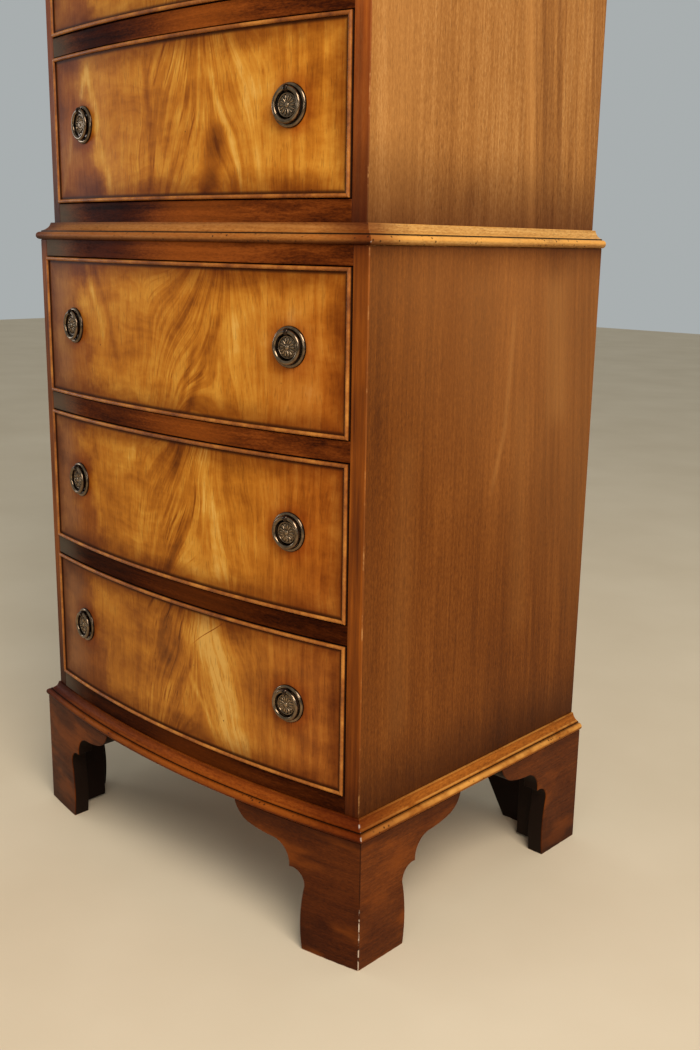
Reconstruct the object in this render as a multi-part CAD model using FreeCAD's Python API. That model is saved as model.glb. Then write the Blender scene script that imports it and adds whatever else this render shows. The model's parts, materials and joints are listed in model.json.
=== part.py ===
import FreeCAD, Part
import math
import os

# Bow-fronted mahogany highboy: a case of three long drawers stands on a wider case of three,
# with bracket feet, cove-and-bead mouldings, a cornice and brass ring pulls.
# Millimetres. The floor is Z zero, the front faces -Y, and the part is centred on X and Y.

V = FreeCAD.Vector

# Cases in plan
case_width = 550.0
case_depth = 405.0
bow_rise = 28.0
upper_setback = 14.0
side_board = 17.6
back_panel = 6.0
back_lap = 8.8

# Heights, from the floor up
foot_height = 149.0
moulding_height = 20.0
lower_bottom_rail = 19.6
opening_height = 166.8
rail_height = 21.2
lower_top_rail = 19.6
upper_bottom_rail = 21.6
upper_top_rail = 19.6
cornice_height = 42.0
top_thickness = 13.0
drawers_per_case = 3

# Boards and bearers inside the cases
rail_depth = 60.0
deck_thickness = 15.0
runner_width = 26.0
runner_height = 18.0
stop_length = 22.0
stop_width = 34.0
stop_height = 5.0
stop_gap = 0.3
stop_place_share = 0.55

# Mouldings
base_projection = 16.0
waist_projection = 5.0
base_top_flat = 2.0
waist_top_flat = 3.8
bead_height = 9.0
quirk_width = 1.0
quirk_height = 1.3
cornice_projection = 27.0
cornice_bead = 7.0
cornice_fillet = 3.0
cornice_lip = 7.0
top_overhang = 3.0
top_round = 5.0
hollow_share = 0.15
swell_share = -0.2
spare_turn_share = 1.05
mitre_reach_share = 3.0

# Bracket feet
foot_setback = 2.5
bracket_thickness = 21.0
bracket_length = 168.0
block_size = 32.0
block_lift = 4.0
rear_bracket_foot = 98.0
rear_bracket_top = 187.0
# Outline of a bracket: shares of its length, from the outer corner, and of the foot's height.
ankle_share = 0.43
bracket_arc_shares = (
    ((0.445, 0.20), (0.414, 0.515)),
    ((0.443, 0.605), (0.536, 0.634)),
    ((0.568, 0.760), (0.685, 0.822)),
    ((0.780, 0.834), (0.875, 0.858)),
    ((0.958, 0.916), (1.0, 1.0)),
)

# Drawers
drawer_gap = 1.2
slide_gap = 0.3
rear_gap = 8.0
front_thickness = 20.0
drawer_side = 10.0
drawer_back = 10.0
drawer_bottom = 5.0
bottom_rise = 9.0
groove_depth = 5.0
side_drop = 14.0
bead_thickness = 4.0
bead_seat = 6.0
bead_stand = 3.0
dovetail_lap = 2.5
dovetail_count = 3
dovetail_root_share = 0.25
dovetail_tip_share = 0.34

# Ring pulls
pull_inset = 71.5
pull_rise = 3.5
plate_radius = 21.0
plate_edge = 0.8
plate_floor = 1.2
rim_round = 2.6
rim_height = 3.0
rosette_radius = 11.6
rosette_border = 1.6
border_height = 4.4
rosette_edge = 3.7
rosette_crown = 4.3
button_radius = 2.8
button_height = 5.4
ring_radius = 15.2
ring_wire = 2.2
ring_gap = 0.2
eye_ball = 3.8
eye_gap = 0.6
shank_radius = 2.5
fit_gap = 0.15
nut_radius = 5.5
nut_height = 4.0
shank_spare = 1.5

# Places that follow from the sizes
lower_half = case_width / 2
front_overhang = max(base_projection, cornice_projection + top_overhang - upper_setback)
overall_depth = case_depth + bow_rise + front_overhang
back_y = overall_depth / 2
panel_y = back_y - back_panel
bow_radius = (lower_half ** 2 + bow_rise ** 2) / (2 * bow_rise)
bow_centre_y = back_y - case_depth - bow_rise + bow_radius
bow_axis = V(0, bow_centre_y, 0)
drawer_pitch = opening_height + rail_height
stack_height = drawers_per_case * drawer_pitch - rail_height
lower_first = foot_height + moulding_height + lower_bottom_rail
lower_top = lower_first + stack_height + lower_top_rail
upper_first = lower_top + moulding_height + upper_bottom_rail
cornice_z = upper_first + stack_height + upper_top_rail
upper_top = cornice_z + cornice_height
foot_offset = base_projection - foot_setback
drawer_back_y = panel_y - rear_gap
eye_bore = ring_wire + eye_gap
ring_stand = rim_height + ring_wire + ring_gap


# Working shapes

def bow_y(x, offset):
    """Y of the bowed front at x, on the arc that lies offset outside the lower case's face."""
    return bow_centre_y - math.sqrt((bow_radius + offset) ** 2 - x ** 2)


def bow_arc(x0, x1, offset):
    """Start, middle and end of the bowed front between two x places."""
    return [(x, bow_y(x, offset)) for x in (x0, (x0 + x1) / 2, x1)]


def outline(to_space, start, *steps):
    """A face from a start point and steps; a step is an end point, or (middle, end) of an arc."""
    edges = []
    here = to_space(*start)
    for step in steps + (start,):
        if isinstance(step[0], tuple):
            middle = to_space(*step[0])
            end = to_space(*step[1])
            edges.append(Part.Arc(here, middle, end).toShape())
        else:
            end = to_space(*step)
            if end.isEqual(here, fit_gap):
                continue
            edges.append(Part.LineSegment(here, end).toShape())
        here = end
    return Part.Face(Part.Wire(edges))


def in_plan(z):
    """Maps plan points (x, y) to the level z."""
    return lambda x, y: V(x, y, z)


def in_front(y):
    """Maps elevation points (x, z) to the upright plane at y."""
    return lambda x, z: V(x, y, z)


def in_side(x):
    """Maps side-view points (y, z) to the upright plane at x."""
    return lambda y, z: V(x, y, z)


def box(x0, x1, y0, y1, z0, z1):
    return Part.makeBox(x1 - x0, y1 - y0, z1 - z0, V(x0, y0, z0))


def bowed_board(x0, x1, offset, rear_y, z0, z1):
    """A flat board with a bowed front edge and a straight rear edge."""
    start, middle, end = bow_arc(x0, x1, offset)
    face = outline(in_plan(z0), start, (middle, end), (x1, rear_y), (x0, rear_y))
    return face.extrude(V(0, 0, z1 - z0))


def bowed_layer(x0, x1, inner, outer, z0, z1):
    """An upright bowed layer between two offsets from the lower case's face."""
    start, middle, end = bow_arc(x0, x1, outer)
    back_start, back_middle, back_end = bow_arc(x1, x0, inner)
    face = outline(in_plan(z0), start, (middle, end), back_start, (back_middle, back_end))
    return face.extrude(V(0, 0, z1 - z0))


def mirrored(shape):
    """The left-hand copy of a right-hand piece."""
    return shape.mirror(V(0, 0, 0), V(1, 0, 0))


def curve_middle(a, b, share):
    """Middle point of a moulding's hollow or swell from a to b."""
    run = b[0] - a[0]
    rise = b[1] - a[1]
    return ((a[0] + b[0]) / 2 - share * rise, (a[1] + b[1]) / 2 + share * run)


def cap_middle(edge, tip):
    """Middle point of a round cap's section, from its edge to its tip on the axis."""
    rise = tip[1] - edge[1]
    sphere = (edge[0] ** 2 + rise ** 2) / (2 * rise)
    half_turn = math.asin(edge[0] / sphere) / 2
    return (sphere * math.sin(half_turn), tip[1] - sphere * (1 - math.cos(half_turn)))


# Mouldings

def cove_and_bead(width, top_flat):
    """Section of the base and waist mouldings, as steps of (projection, height)."""
    bead = bead_height / 2
    neck = width - bead
    quirk = (neck - quirk_width, bead_height + quirk_height)
    rim = (top_flat, moulding_height)
    return (
        (0, 0),
        (neck, 0),
        ((width, bead), (neck, bead_height)),
        (neck - quirk_width, bead_height),
        quirk,
        (curve_middle(quirk, rim, hollow_share), rim),
        (0, moulding_height),
    )


def cornice_section():
    """Section of the cornice: a bead, a large cove and a rounded lip."""
    bead = cornice_bead / 2
    foot = (2 * cornice_fillet, cornice_bead + cornice_fillet)
    head = (cornice_projection - cornice_lip, cornice_height - cornice_lip - cornice_fillet)
    lip = (head[0] + cornice_fillet, head[1] + cornice_fillet)
    edge = (cornice_projection, cornice_height - cornice_fillet)
    return (
        (0, 0),
        (cornice_fillet, 0),
        ((cornice_fillet + bead, bead), (cornice_fillet, cornice_bead)),
        (foot[0], cornice_bead),
        foot,
        (curve_middle(foot, head, hollow_share), head),
        (lip[0], head[1]),
        lip,
        (curve_middle(lip, edge, swell_share), edge),
        (cornice_projection, cornice_height),
        (0, cornice_height),
    )


def mitre(offset, width, z0, z1, towards_side):
    """A block on one side of the right-hand mitre plane of a moulding."""
    inner_x = lower_half + offset
    outer_x = inner_x + width
    inner = V(inner_x, bow_y(inner_x, offset), z0)
    outer = V(outer_x, bow_y(outer_x, offset + width), z0)
    along = outer - inner
    across = V(-along.y, along.x, 0) if towards_side else V(along.y, -along.x, 0)
    near = inner - along * mitre_reach_share
    far = outer + along * mitre_reach_share
    wide = across * mitre_reach_share
    corners = [near, far, far + wide, near + wide, near]
    return Part.Face(Part.makePolygon(corners)).extrude(V(0, 0, z1 - z0))


def moulding(section, offset, width, z0, z1):
    """Front, right and left lengths of a moulding that runs round a case, mitred at the corners."""
    outer_x = lower_half + offset + width
    to_front = lambda out, up: V(0, bow_centre_y - bow_radius - offset - out, z0 + up)
    half_turn = math.degrees(math.asin(outer_x / bow_radius)) * spare_turn_share
    face = outline(to_front, *section)
    face.rotate(bow_axis, V(0, 0, 1), -half_turn)
    front = face.revolve(bow_axis, V(0, 0, 1), 2 * half_turn).toNurbs()
    side_waste = mitre(offset, width, z0, z1, True)
    front = front.cut(side_waste).cut(mirrored(side_waste))
    start_y = bow_y(outer_x, offset + width)
    to_side = lambda out, up: V(lower_half + offset + out, start_y, z0 + up)
    side = outline(to_side, *section).extrude(V(0, back_y - start_y, 0))
    side = side.cut(mitre(offset, width, z0, z1, False))
    return [front, side, mirrored(side)]


# Feet

def bracket_steps(corner, direction):
    """Outline of a bracket from its outer corner, running along one axis."""
    place = lambda share, up_share: (corner + direction * share * bracket_length, up_share * foot_height)
    arcs = [(place(*middle), place(*end)) for middle, end in bracket_arc_shares]
    return [(corner, 0), place(ankle_share, 0)] + arcs + [(corner, foot_height)]


def foot_pieces(front):
    """Two brackets and a glue block of the right-hand front or rear foot."""
    outer_x = lower_half + foot_offset
    inner_offset = foot_offset - bracket_thickness
    inner_x = lower_half + inner_offset
    outer_y = bow_y(outer_x, foot_offset)
    inner_y = bow_y(inner_x, inner_offset)
    if front:
        end_x = outer_x - bracket_length
        start, middle, end = bow_arc(end_x, outer_x, foot_offset)
        back_start, back_middle, back_end = bow_arc(inner_x, end_x, inner_offset)
        plan = outline(in_plan(0), start, (middle, end), back_start, (back_middle, back_end))
        shape = outline(in_front(back_y), *bracket_steps(outer_x, -1)).extrude(V(0, -overall_depth, 0))
        cross = plan.extrude(V(0, 0, foot_height)).common(shape)
        end_y = outer_y + bracket_length
        plan = outline(in_plan(0), (outer_x, outer_y), (outer_x, end_y), (inner_x, end_y), (inner_x, inner_y))
        steps = bracket_steps(outer_y, 1)
        block = bowed_board(inner_x - block_size, inner_x, inner_offset, inner_y + block_size,
                            block_lift, foot_height)
    else:
        inside_y = back_y - bracket_thickness
        cross = outline(in_front(inside_y), (inner_x, 0), (outer_x - rear_bracket_foot, 0),
                        (outer_x - rear_bracket_top, foot_height), (inner_x, foot_height))
        cross = cross.extrude(V(0, bracket_thickness, 0))
        end_y = back_y - bracket_length
        plan = outline(in_plan(0), (outer_x, end_y), (outer_x, back_y), (inner_x, back_y), (inner_x, end_y))
        steps = bracket_steps(back_y, -1)
        block = box(inner_x - block_size, inner_x, inside_y - block_size, inside_y, block_lift, foot_height)
    shape = outline(in_side(outer_x), *steps).extrude(V(-bracket_thickness, 0, 0))
    along = plan.extrude(V(0, 0, foot_height)).common(shape)
    return [cross, along, block]


# Cases

class Case:
    """One of the two stacked cases: its outer size and the places of its drawer openings."""

    def __init__(self, name, setback, bottom, first, top):
        self.name = name
        self.offset = -setback
        self.half = lower_half - setback
        self.inner = self.half - side_board
        self.bottom = bottom
        self.top = top
        self.openings = [first + i * drawer_pitch for i in range(drawers_per_case)]
        self.rail_y = bow_y(self.half, self.offset) + rail_depth


def case_side(case):
    """Right-hand side board, its front edge bowed and its rear edge rebated for the back panel."""
    start, middle, end = bow_arc(case.inner, case.half, case.offset)
    rebate_x = case.inner + back_lap
    face = outline(in_plan(case.bottom), start, (middle, end), (case.half, back_y),
                   (rebate_x, back_y), (rebate_x, panel_y), (case.inner, panel_y))
    return face.extrude(V(0, 0, case.top - case.bottom))


def case_back(case):
    half = case.inner + back_lap
    return box(-half, half, panel_y, back_y, case.bottom, case.top)


def case_rails(case):
    """Bowed rails below, between and above the drawers."""
    edges = [case.bottom]
    for opening in case.openings:
        edges += [opening, opening + opening_height]
    edges.append(case.top)
    pairs = zip(edges[0::2], edges[1::2])
    return [bowed_board(-case.inner, case.inner, case.offset, case.rail_y, z0, z1) for z0, z1 in pairs]


def case_deck(case, z0, z1):
    """A board between the sides, behind the rails."""
    return box(-case.inner, case.inner, case.rail_y, panel_y, z0, z1)


def case_runners(case, tops):
    """Bearers fixed to both sides, with their upper faces at the given levels."""
    pieces = []
    for top in tops:
        runner = box(case.inner - runner_width, case.inner, case.rail_y, panel_y, top - runner_height, top)
        pieces += [runner, mirrored(runner)]
    return pieces


def case_stops(case):
    """Two small blocks on the rail below each drawer, just behind its closed front."""
    x = case.inner * stop_place_share
    y = bow_y(x + stop_width / 2, case.offset - front_thickness) + stop_gap
    pieces = []
    for z in case.openings:
        block = box(x - stop_width / 2, x + stop_width / 2, y, y + stop_length, z, z + stop_height)
        pieces += [block, mirrored(block)]
    return pieces


# Ring pulls, made at the origin with their face towards -Y

def plate_shape():
    """Round back plate: a swelling rim, a sunk channel and a raised rosette with a button."""
    rim = plate_radius - 2 * rim_round
    border = rosette_radius - rosette_border
    dome = (border, rosette_edge)
    button = (button_radius, rosette_crown)
    tip = (0, button_height)
    section = (
        (0, 0),
        (plate_radius, 0),
        (plate_radius, plate_edge),
        ((plate_radius - rim_round, rim_height), (rim, plate_floor)),
        (rosette_radius, plate_floor),
        (rosette_radius, rosette_edge),
        ((rosette_radius - rosette_border / 2, border_height), dome),
        (curve_middle(dome, button, -hollow_share), button),
        (cap_middle(button, tip), tip),
    )
    face = outline(lambda r, out: V(r, -out, 0), *section)
    return face.revolve(V(0, 0, 0), V(0, 1, 0), 360)


def eye_shape(reach):
    """Eye bolt that carries the ring: a ball on a shank, bored across for the ring."""
    centre = V(0, -ring_stand, ring_radius)
    shank = Part.makeCylinder(shank_radius, ring_stand + reach, centre, V(0, 1, 0))
    bore = Part.makeCylinder(eye_bore, 2 * eye_ball, centre - V(eye_ball, 0, 0), V(1, 0, 0))
    return Part.makeSphere(eye_ball, centre).fuse(shank).cut(bore)


def nut_shape():
    """Hexagonal nut on the shank, inside the drawer."""
    turns = [math.radians(60 * i) for i in range(6)]
    points = [(nut_radius * math.cos(a), ring_radius + nut_radius * math.sin(a)) for a in turns]
    seat = front_thickness + fit_gap
    face = outline(in_front(seat), *points)
    bore = Part.makeCylinder(shank_radius + fit_gap, nut_height, V(0, seat, ring_radius), V(0, 1, 0))
    return face.extrude(V(0, nut_height, 0)).cut(bore)


def pull_shapes():
    """Plate, eye bolt, nut and ring of one pull, and the hole that it needs in the drawer front."""
    reach = front_thickness + nut_height + shank_spare
    hole = Part.makeCylinder(shank_radius + fit_gap, ring_stand + reach, V(0, -ring_stand, ring_radius), V(0, 1, 0))
    seat = Part.makeSphere(eye_ball + fit_gap, V(0, -ring_stand, ring_radius))
    plate = plate_shape().cut(hole).cut(seat)
    ring = Part.makeTorus(ring_radius, ring_wire, V(0, -ring_stand, 0), V(0, 1, 0))
    return {"plate": plate, "eye": eye_shape(reach), "nut": nut_shape(), "ring": ring, "hole": hole}


def placed(shape, x, z, offset):
    """A pull's piece set square on the bowed front at x and z."""
    turn = math.degrees(math.asin(x / (bow_radius + offset)))
    copy = shape.rotated(V(0, 0, 0), V(0, 0, 1), turn)
    return copy.translated(V(x, bow_y(x, offset), z))


# Drawers

class Drawer:
    """Sizes of one drawer in its opening."""

    def __init__(self, case, opening):
        self.offset = case.offset
        self.half = case.inner - drawer_gap
        self.inner = self.half - drawer_side
        self.z0 = opening + drawer_gap
        self.z1 = opening + opening_height - drawer_gap
        self.side_z0 = opening + slide_gap
        self.side_z1 = opening + opening_height - side_drop
        self.bottom_z = self.side_z0 + bottom_rise
        self.floor_z = self.bottom_z + drawer_bottom
        self.seat_y = bow_y(self.inner, self.offset - front_thickness)
        self.bead_y = bow_y(self.half, self.offset - bead_seat)
        self.pull_x = self.half - pull_inset
        self.pull_z = (self.z0 + self.z1) / 2 + pull_rise


def bead_seat_frame(d):
    """The rebate round the drawer front that the cock bead fills."""
    whole = bowed_layer(-d.half, d.half, d.offset - bead_seat, d.offset + bead_stand, d.z0, d.z1)
    half = d.half - bead_thickness
    field = bowed_layer(-half, half, d.offset - bead_seat - bead_stand, d.offset + 2 * bead_stand,
                        d.z0 + bead_thickness, d.z1 - bead_thickness)
    return whole.cut(field)


def cock_bead(d):
    """Four round-nosed strips, mitred at the corners: top, bottom, right and left."""
    nose = bead_thickness / 2
    seat = d.offset - bead_seat
    crown = d.offset + bead_stand
    strips = []
    for z, up in ((d.z1, -1), (d.z0, 1)):
        to_space = lambda out, rise: V(0, bow_centre_y - bow_radius - out, z + up * rise)
        face = outline(to_space, (seat, 0), (crown - nose, 0),
                       ((crown, nose), (crown - nose, bead_thickness)), (seat, bead_thickness))
        half_turn = math.degrees(math.asin(d.half / (bow_radius + seat))) * spare_turn_share
        face.rotate(bow_axis, V(0, 0, 1), -half_turn)
        strip = face.revolve(bow_axis, V(0, 0, 1), 2 * half_turn).toNurbs()
        short = d.half - bead_thickness
        ends = outline(in_front(back_y), (-d.half, z), (d.half, z),
                       (short, z + up * bead_thickness), (-short, z + up * bead_thickness))
        strips.append(strip.common(ends.extrude(V(0, -overall_depth, 0))))
    inside = d.half - bead_thickness
    plan = outline(in_plan(d.z0), (inside, bow_y(inside, seat)), (d.half, bow_y(d.half, seat)),
                   (d.half, bow_y(d.half, crown - nose)),
                   ((d.half - nose, bow_y(d.half - nose, crown)), (inside, bow_y(inside, crown - nose))))
    strip = plan.extrude(V(0, 0, d.z1 - d.z0))
    ends = outline(in_front(back_y), (d.half, d.z0), (d.half, d.z1),
                   (inside, d.z1 - bead_thickness), (inside, d.z0 + bead_thickness))
    strip = strip.common(ends.extrude(V(0, -overall_depth, 0)))
    return strips + [strip, mirrored(strip)]


def drawer_side_board(d):
    """Right-hand side, its front end cut into tails that are let into the drawer front."""
    tip_y = d.bead_y + dovetail_lap
    pitch = (d.side_z1 - d.floor_z) / dovetail_count
    steps = [(d.seat_y, d.side_z0)]
    for i in range(dovetail_count):
        middle = d.floor_z + (i + 0.5) * pitch
        root = dovetail_root_share * pitch
        tip = dovetail_tip_share * pitch
        steps += [(d.seat_y, middle - root), (tip_y, middle - tip), (tip_y, middle + tip),
                  (d.seat_y, middle + root)]
    steps += [(d.seat_y, d.side_z1), (drawer_back_y, d.side_z1), (drawer_back_y, d.side_z0)]
    return outline(in_side(d.inner), *steps).extrude(V(drawer_side, 0, 0))


def drawer_floor(d):
    """Bottom panel, held in grooves in the sides and in the bowed front."""
    half = d.inner + groove_depth
    return bowed_board(-half, half, d.offset - front_thickness + groove_depth, drawer_back_y,
                       d.bottom_z, d.floor_z)


def drawer_box(d):
    """Two dovetailed sides, the back that stands on the bottom, and the bottom."""
    floor = drawer_floor(d)
    side = drawer_side_board(d).cut(floor)
    back = box(-d.inner, d.inner, drawer_back_y - drawer_back, drawer_back_y, d.floor_z, d.side_z1)
    return [side, mirrored(side), back, floor]


def drawer_front(d, box_pieces, holes):
    """Bowed front with flat seats for the sides, sockets, a groove and a rebate for the bead."""
    start, middle, end = bow_arc(-d.half, d.half, d.offset)
    back_start, back_middle, back_end = bow_arc(d.inner, -d.inner, d.offset - front_thickness)
    face = outline(in_plan(d.z0), start, (middle, end), (d.half, d.seat_y), back_start,
                   (back_middle, back_end), (-d.half, d.seat_y))
    front = face.extrude(V(0, 0, d.z1 - d.z0))
    front = front.cut(bead_seat_frame(d))
    for piece in box_pieces + holes:
        front = front.cut(piece)
    return front


# Nodes

def case_nodes(case):
    side = case_side(case)
    return {
        case.name + "_right_side": [side],
        case.name + "_left_side": [mirrored(side)],
        case.name + "_back_panel": [case_back(case)],
        case.name + "_rails": case_rails(case),
    }


def drawer_nodes(name, d, pull):
    right = {key: placed(shape, d.pull_x, d.pull_z, d.offset) for key, shape in pull.items()}
    left = {key: placed(shape, -d.pull_x, d.pull_z, d.offset) for key, shape in pull.items()}
    box_pieces = drawer_box(d)
    hardware = [hand[key] for hand in (left, right) for key in ("plate", "eye", "nut")]
    return {
        name + "_front": [drawer_front(d, box_pieces, [left["hole"], right["hole"]])],
        name + "_box": box_pieces,
        name + "_cock_bead": cock_bead(d),
        name + "_pull_plates": hardware,
        name + "_left_ring": [left["ring"]],
        name + "_right_ring": [right["ring"]],
    }


def top_board():
    """Top of the upper case, over the cornice, with its upper edge rounded at the front and sides."""
    offset = cornice_projection + top_overhang - upper_setback
    half = lower_half + offset
    board = bowed_board(-half, half, offset, back_y, upper_top, upper_top + top_thickness)
    middle_z = upper_top + top_thickness / 2
    edges = [e for e in board.Edges if e.BoundBox.ZMin > middle_z and e.BoundBox.YMin < 0]
    return board.makeFillet(top_round, edges)


lower = Case("lower", 0, foot_height, lower_first, lower_top)
upper = Case("upper", upper_setback, lower_top, upper_first, upper_top)
cases = (upper, lower)

nodes = {}
for case in cases:
    nodes.update(case_nodes(case))
    nodes[case.name + "_bottom_board"] = [case_deck(case, case.bottom, case.bottom + deck_thickness)]
nodes["lower_top_board"] = [case_deck(lower, lower_top - lower_top_rail, lower_top)]
nodes["lower_runners"] = case_runners(lower, lower.openings)
kicker_top = upper.openings[-1] + opening_height + runner_height
nodes["upper_runners"] = case_runners(upper, upper.openings + [kicker_top])
nodes["drawer_stops"] = case_stops(lower) + case_stops(upper)

nodes["base_moulding"] = moulding(cove_and_bead(base_projection, base_top_flat), 0, base_projection,
                                  foot_height, foot_height + moulding_height)
waist_width = upper_setback + waist_projection
nodes["waist_moulding"] = moulding(cove_and_bead(waist_width, waist_top_flat), -upper_setback, waist_width,
                                   lower_top, lower_top + moulding_height)
nodes["cornice"] = moulding(cornice_section(), -upper_setback, cornice_projection, cornice_z, upper_top)
nodes["top_board"] = [top_board()]

for place in ("front", "rear"):
    pieces = foot_pieces(place == "front")
    nodes[place + "_right_foot"] = pieces
    nodes[place + "_left_foot"] = [mirrored(piece) for piece in pieces]

pull = pull_shapes()
for case in cases:
    for number, opening in enumerate(reversed(case.openings), 1):
        name = case.name + "_drawer_" + str(number)
        nodes.update(drawer_nodes(name, Drawer(case, opening), pull))

os.makedirs("parts", exist_ok=True)
for name, pieces in nodes.items():
    shape = pieces[0] if len(pieces) == 1 else Part.makeCompound(pieces)
    shape.exportStep("parts/" + name + ".step")
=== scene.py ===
# %% [markdown]
# # A bow-fronted highboy in Blender
# The piece is a mahogany chest on a chest: two cases of long drawers, one standing on the other,
# with swelling fronts, cock-beaded drawers, brass ring pulls and bracket feet.
# The CAD frame already holds every board in its place, in metres, so this lesson only dresses it.
# The box of a node is read from its points. The dressed piece has to stay inside it.

# %% Load the frame
import json
import math

import bmesh
import bpy
from mathutils import Matrix, Vector


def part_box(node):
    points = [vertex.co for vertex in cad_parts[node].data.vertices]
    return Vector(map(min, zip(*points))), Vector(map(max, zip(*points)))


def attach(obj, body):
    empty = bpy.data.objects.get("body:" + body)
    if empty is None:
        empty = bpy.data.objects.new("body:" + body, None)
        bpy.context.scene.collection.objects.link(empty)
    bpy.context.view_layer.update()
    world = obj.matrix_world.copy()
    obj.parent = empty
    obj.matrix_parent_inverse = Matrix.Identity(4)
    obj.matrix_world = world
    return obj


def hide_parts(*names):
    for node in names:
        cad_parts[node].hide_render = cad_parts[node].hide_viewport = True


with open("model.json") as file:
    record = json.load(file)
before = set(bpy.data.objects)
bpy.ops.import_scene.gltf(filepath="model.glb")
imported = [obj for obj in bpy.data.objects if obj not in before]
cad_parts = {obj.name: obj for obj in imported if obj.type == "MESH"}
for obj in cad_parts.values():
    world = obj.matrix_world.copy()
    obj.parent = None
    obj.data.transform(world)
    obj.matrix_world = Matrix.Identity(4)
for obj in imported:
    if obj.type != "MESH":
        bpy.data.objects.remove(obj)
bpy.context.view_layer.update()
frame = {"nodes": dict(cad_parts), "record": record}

bodies = frame["record"]["behaviour"]["bodies"]
body_of = {node: body for body, nodes in bodies.items() for node in nodes}
slot_of = {part["node"]: part["material_slot"] for part in frame["record"]["subparts"]}

# %% [markdown]
# ## Camera
# The piece is seen from its front right corner, at the height of its waist moulding, looking a little down.
# The camera is built by three turns: about the upright (yaw), down (pitch) and about its own axis (roll).
# Writing the turns as a product of rotations keeps each one readable.

# %% Camera
EYE = Vector((1.0204, -1.0015, 0.7518))
YAW, PITCH, ROLL = (math.radians(a) for a in (42.9616, 13.5834, 0.9446))
LENS_MM = 39.94
SENSOR_MM = 36.0

scene = bpy.context.scene
lens = bpy.data.cameras.new("view_of_the_corner")
lens.lens = LENS_MM
lens.sensor_width = SENSOR_MM
camera = bpy.data.objects.new("view_of_the_corner", lens)
scene.collection.objects.link(camera)
aim = Matrix.Rotation(YAW, 3, "Z") @ Matrix.Rotation(math.pi / 2 - PITCH, 3, "X") @ Matrix.Rotation(ROLL, 3, "Z")
camera.matrix_world = Matrix.Translation(EYE) @ aim.to_4x4()
scene.camera = camera
print("camera looks along", aim @ Vector((0, 0, -1)))

# %% [markdown]
# ## Light
# A large window-like lamp hangs high on the right, so the sides catch more of its light than the fronts,
# and the top more than the feet. A small one behind the viewer puts glints on the brass, a weak cool one on
# the left gives the bow a sheen, and the pale surroundings fill the shadows.

# %% Colours and lamps
ROOM_TINT = (226, 233, 234)
ROOM_STRENGTH = 0.52
LAMPS = (  # name, place, target, size, power, colour
    ("window_right", (2.1, -1.15, 2.5), (0.05, -0.05, 0.75), 1.6, 92.0, (1.0, 0.95, 0.87)),
    ("window_behind", (1.15, -2.3, 1.0), (0.0, -0.2, 0.55), 0.5, 5.0, (1.0, 0.97, 0.92)),
    ("window_left", (-2.6, -1.0, 1.0), (0.0, 0.0, 0.6), 0.7, 6.0, (0.92, 0.96, 1.0)),
)


def paint(red, green, blue):
    """A tint as a painter mixes it on a screen, 0 to 255, turned into light."""
    shares = [c / 255 for c in (red, green, blue)]
    return tuple(s / 12.92 if s <= 0.04045 else ((s + 0.055) / 1.055) ** 2.4 for s in shares)


def lamp(name, place, target, size, power, colour):
    """A square soft lamp that looks at a target."""
    data = bpy.data.lights.new(name, "AREA")
    data.size = size
    data.energy = power
    data.color = colour
    piece = bpy.data.objects.new(name, data)
    scene.collection.objects.link(piece)
    facing = (Vector(target) - Vector(place)).to_track_quat("-Z", "Y")
    piece.matrix_world = Matrix.Translation(place) @ facing.to_matrix().to_4x4()


for setting in LAMPS:
    lamp(*setting)
world = bpy.data.worlds.new("pale_room")
world.use_nodes = True
world.node_tree.nodes["Background"].inputs["Color"].default_value = (*paint(*ROOM_TINT), 1)
world.node_tree.nodes["Background"].inputs["Strength"].default_value = ROOM_STRENGTH
scene.world = world
scene.view_settings.view_transform = "Standard"

# %% [markdown]
# ## Shader maths
# Finishes are built from nodes. Wiring them by hand hides the idea, so one small class wraps a socket:
# sums and products of wires add Math nodes, and every other node comes from one method.

# %% The wire class
class Wire:
    """One output socket of a material, with arithmetic."""

    def __init__(self, tree, socket=None):
        self.tree = tree
        self.socket = socket

    def node(self, kind, settings=(), sockets=(), out=0):
        """Adds a node: its settings first, then the values or wires of its sockets."""
        node = self.tree.nodes.new("ShaderNode" + kind)
        for name, value in dict(settings).items():
            if name == "stops":
                first, *middle, last = value
                ends = node.color_ramp.elements
                for element, (at, colour) in zip((ends[0], ends[1]), (first, last)):
                    element.position = at
                    element.color = (*colour, 1)
                for at, colour in middle:
                    ends.new(at).color = (*colour, 1)
            else:
                setattr(node, name, value)
        for key, value in dict(sockets).items():
            if isinstance(value, Wire):
                self.tree.links.new(value.socket, node.inputs[key])
            else:
                node.inputs[key].default_value = value
        return Wire(self.tree, node.outputs[out])

    def math(self, operation, *terms):
        return self.node("Math", {"operation": operation}, enumerate(terms))

    def __add__(self, other):
        return self.math("ADD", self, other)

    def __radd__(self, other):
        return self.math("ADD", other, self)

    def __sub__(self, other):
        return self.math("SUBTRACT", self, other)

    def __rsub__(self, other):
        return self.math("SUBTRACT", other, self)

    def __mul__(self, other):
        return self.math("MULTIPLY", self, other)

    def __rmul__(self, other):
        return self.math("MULTIPLY", other, self)

    def __pow__(self, other):
        return self.math("POWER", self, other)

    def __abs__(self):
        return self.math("ABSOLUTE", self)


print("wire class ready")

# %% [markdown]
# A few more words of this small language. A mask is a value from 0 to 1 that says where something shows,
# and a place is split into its three axes and put together again, to draw things out or turn them.

# %% Masks and places
def smaller(first, second):
    return first.math("MINIMUM", first, second)


def larger(first, second):
    return first.math("MAXIMUM", first, second)


def between(value, low, high):
    """0 at low, 1 at high, with a soft start and end."""
    limits = {"Value": value, "From Min": low, "From Max": high}
    return value.node("MapRange", {"interpolation_type": "SMOOTHSTEP"}, limits)


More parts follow.
